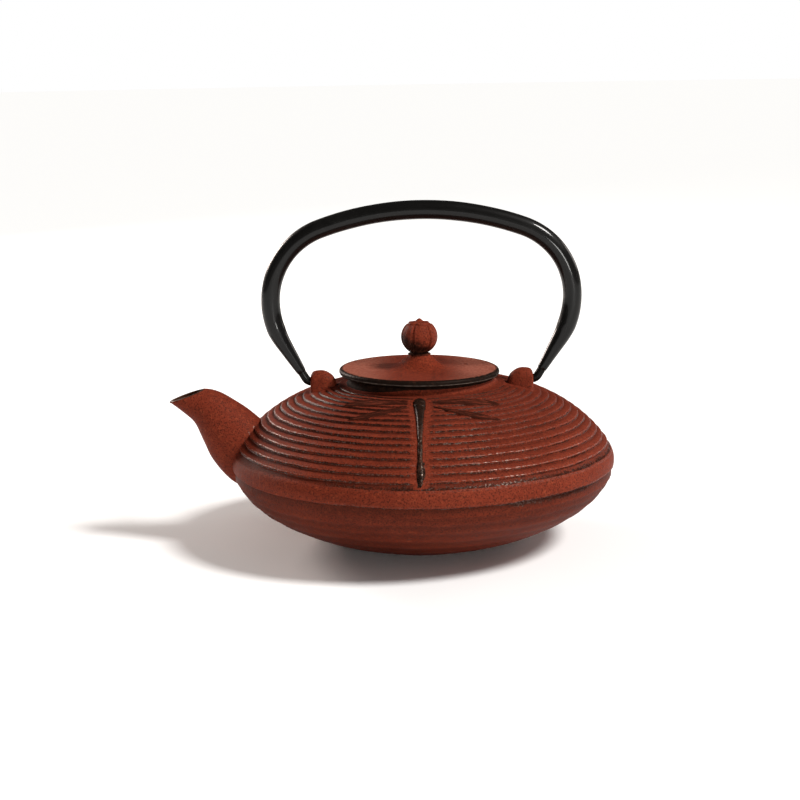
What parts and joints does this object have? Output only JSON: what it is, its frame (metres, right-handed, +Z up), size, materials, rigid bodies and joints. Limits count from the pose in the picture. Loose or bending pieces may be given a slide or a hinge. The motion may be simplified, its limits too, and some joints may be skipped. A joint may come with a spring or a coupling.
{
  "type": "cast iron teapot",
  "caption": "Flat round cast-iron teapot with a ribbed shoulder, dragonfly relief, upswept spout, lift-off lid with a ball knob and a swinging bail handle.",
  "frame": {"origin": "centre of the flat foot, on the body's vertical axis", "axes": "+Z up, the spout points along -X, the bail handle lies in the XZ plane when upright"},
  "size_m": [0.2036, 0.175, 0.1559],
  "materials": {
    "red_casting": "satin",
    "red_lid": "satin",
    "red_knob": "satin",
    "black_handle": "satin",
    "black_hook": "satin",
    "washer_steel": "satin",
    "infuser_steel": "satin"
  },
  "bodies": {
    "pot": {"pot_body": "red_casting"},
    "lid": {"lid_plate": "red_lid", "lid_knob": "red_knob", "knob_washer": "washer_steel"},
    "handle": {"handle_tube": "black_handle", "handle_hook_spout_side": "black_hook", "handle_hook_rear_side": "black_hook"},
    "infuser": {"infuser_collar": "infuser_steel", "infuser_mesh": "infuser_steel", "infuser_base": "infuser_steel"}
  },
  "joints": [
    {"name": "handle_swing", "type": "hinge", "parent": "pot", "child": "handle", "pos_m": [0, 0, 0.0738], "axis": [1, 0, 0], "range_deg": [-98, 98]},
    {"name": "lid_lift", "type": "slide", "parent": "pot", "child": "lid", "axis": [0, 0, 1], "range_m": [0, 0.042]},
    {"name": "infuser_lift", "type": "slide", "parent": "pot", "child": "infuser", "axis": [0, 0, 1], "range_m": [0, 0.0302]}
  ],
  "couplings": [
    {"joint": "infuser_lift", "follows": "lid_lift", "ratio": 0.719}
  ]
}
